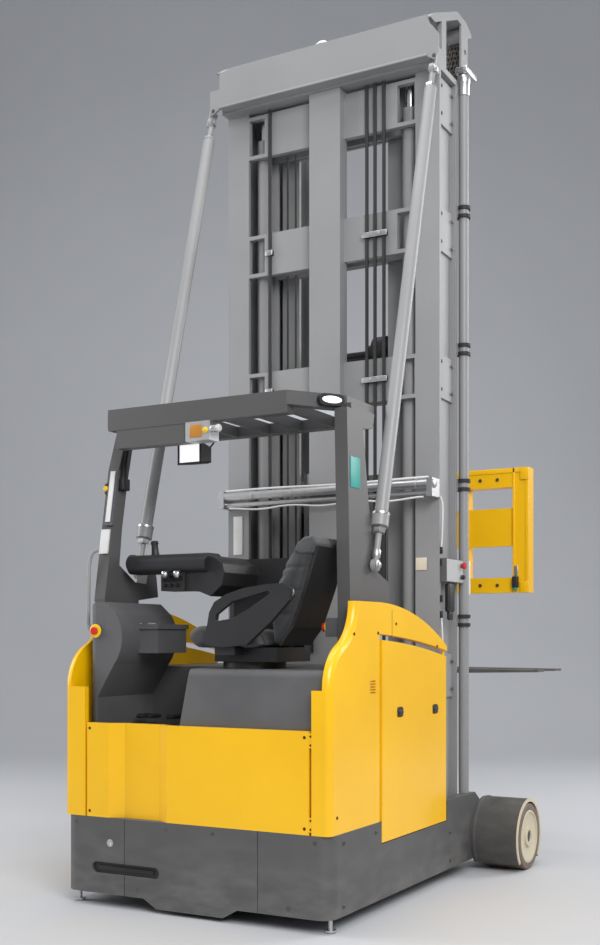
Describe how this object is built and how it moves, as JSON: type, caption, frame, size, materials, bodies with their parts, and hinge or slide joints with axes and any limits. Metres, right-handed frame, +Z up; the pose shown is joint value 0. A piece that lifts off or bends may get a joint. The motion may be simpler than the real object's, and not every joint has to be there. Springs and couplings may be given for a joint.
{
  "type": "automated forklift",
  "caption": "Narrow-aisle turret truck with a tall nested mast, traversing and turning forks, battery body and a sideways operator seat under a guard.",
  "frame": {"origin": "floor level, centre of the truck's length and width with the forks parked across the front", "axes": "+X the truck's right, +Y forwards to the forks, +Z up"},
  "size_m": [1.86, 2.7, 4.43],
  "materials": {
    "frame_paint": "semi-matt dark grey paint on thick plate",
    "body_yellow": "gloss yellow paint on sheet steel",
    "mast_grey": "satin grey paint on rolled profile",
    "stay_paint": "light grey paint",
    "cab_plastic": "grained moulded plastic",
    "seat_fabric": "woven seat cover",
    "black_plastic": "black moulded plastic",
    "tread_brown": "polyurethane tread",
    "tread_black": "polyurethane tread",
    "hub_cream": "cream paint",
    "rim_iron": "cast iron",
    "bright_steel": "ground steel",
    "rod_chrome": "hard chrome",
    "fork_steel": "forged steel, worn",
    "roof_white": "translucent white panel",
    "alu": "anodised extrusion",
    "rubber_black": "smooth hose rubber",
    "red_button": "red push button"
  },
  "bodies": {
    "chassis": {"chassis_frame": "frame_paint", "rear_scanner": "black_plastic", "levelling_feet": "bright_steel", "load_wheel_housings": "frame_paint", "battery": "frame_paint", "bulkheads": "frame_paint", "battery_hood": "frame_paint", "side_cover_left": "body_yellow", "side_cover_right": "body_yellow", "rear_wall": "body_yellow", "cab_floor_pan": "cab_plastic", "seat_plinth": "cab_plastic", "left_housing": "cab_plastic", "guard_pillar_left": "frame_paint", "guard_pillar_right": "frame_paint", "overhead_guard": "frame_paint", "roof_panel": "roof_white", "mast_outer_rails": "mast_grey", "mast_lattice": "mast_grey", "mast_head": "mast_grey", "lift_tubes": "mast_grey", "mast_stays": "stay_paint", "guard_fins": "frame_paint", "work_lamp": "black_plastic", "guard_lamp": "black_plastic", "sensor_box": "alu", "stop_button_left": "red_button", "stop_box": "cab_plastic", "bright_rails": "bright_steel", "mast_screen": "black_plastic", "mast_hoses": "rubber_black", "side_pipe": "mast_grey", "control_box": "cab_plastic", "head_pulleys": "bright_steel"},
    "door_left": {"door_latches_left": "black_plastic", "battery_door_left": "body_yellow"},
    "door_right": {"door_latches_right": "black_plastic", "battery_door_right": "body_yellow"},
    "seat": {"seat_side": "black_plastic", "seat_base": "black_plastic", "seat_cushion": "seat_fabric", "seat_back": "seat_fabric", "console": "black_plastic"},
    "drive_turntable": {"drive_unit": "rim_iron"},
    "drive_wheel": {"drive_tyre": "tread_black", "drive_rim": "rim_iron"},
    "load_wheel_left": {"load_tyre_left": "tread_brown", "load_hub_left": "hub_cream"},
    "load_wheel_right": {"load_tyre_right": "tread_brown", "load_hub_right": "hub_cream"},
    "mast_middle_stage": {"mast_middle": "mast_grey", "lift_rods": "rod_chrome"},
    "mast_inner_stage": {"mast_inner": "mast_grey", "free_lift_tube": "mast_grey"},
    "free_lift": {"free_lift_crosshead": "bright_steel"},
    "lift_carriage": {"carriage": "mast_grey", "traverse_frame": "body_yellow"},
    "head": {"traverse_head": "mast_grey"},
    "turning_forks": {"fork_carriage": "mast_grey", "forks": "fork_steel"}
  },
  "joints": [
    {"name": "drive_steer", "type": "hinge", "parent": "chassis", "child": "drive_turntable", "pos_m": [0, -1.085, 0.49], "axis": [0, 0, 1], "range_deg": [-90, 90]},
    {"name": "drive_roll", "type": "hinge", "parent": "drive_turntable", "child": "drive_wheel", "pos_m": [0, -1.085, 0.185], "axis": [1, 0, 0], "continuous": true},
    {"name": "load_wheel_left_roll", "type": "hinge", "parent": "chassis", "child": "load_wheel_left", "pos_m": [-0.8175, 0.42, 0.17], "axis": [1, 0, 0], "continuous": true},
    {"name": "load_wheel_right_roll", "type": "hinge", "parent": "chassis", "child": "load_wheel_right", "pos_m": [0.8175, 0.42, 0.17], "axis": [1, 0, 0], "continuous": true},
    {"name": "battery_door_left_hinge", "type": "hinge", "parent": "chassis", "child": "door_left", "pos_m": [-0.665, -0.115, 0.7], "axis": [0, 0, -1], "range_deg": [0, 90]},
    {"name": "battery_door_right_hinge", "type": "hinge", "parent": "chassis", "child": "door_right", "pos_m": [0.665, -0.115, 0.7], "axis": [0, 0, 1], "range_deg": [0, 90]},
    {"name": "seat_swivel", "type": "hinge", "parent": "chassis", "child": "seat", "pos_m": [0.13, -1.02, 1.08], "axis": [0, 0, -1], "range_deg": [0, 20]},
    {"name": "mast_middle_lift", "type": "slide", "parent": "chassis", "child": "mast_middle_stage", "axis": [0, 0, 1], "range_m": [0, 3.3]},
    {"name": "mast_inner_lift", "type": "slide", "parent": "mast_middle_stage", "child": "mast_inner_stage", "axis": [0, 0, 1], "range_m": [0, 3.3]},
    {"name": "carriage_lift", "type": "slide", "parent": "mast_inner_stage", "child": "lift_carriage", "axis": [0, 0, 1], "range_m": [-0.96, 2]},
    {"name": "free_lift_follow", "type": "slide", "parent": "mast_inner_stage", "child": "free_lift", "axis": [0, 0, 1], "range_m": [-0.48, 1]},
    {"name": "head_traverse", "type": "slide", "parent": "lift_carriage", "child": "head", "axis": [1, 0, 0], "range_m": [0, 1.16]},
    {"name": "fork_turn", "type": "hinge", "parent": "head", "child": "turning_forks", "pos_m": [-0.58, 1.105, 1.29], "axis": [0, 0, 1], "range_deg": [0, 180]}
  ],
  "couplings": [
    {"joint": "mast_inner_lift", "follows": "mast_middle_lift", "ratio": 1},
    {"joint": "free_lift_follow", "follows": "carriage_lift", "ratio": 0.5}
  ]
}
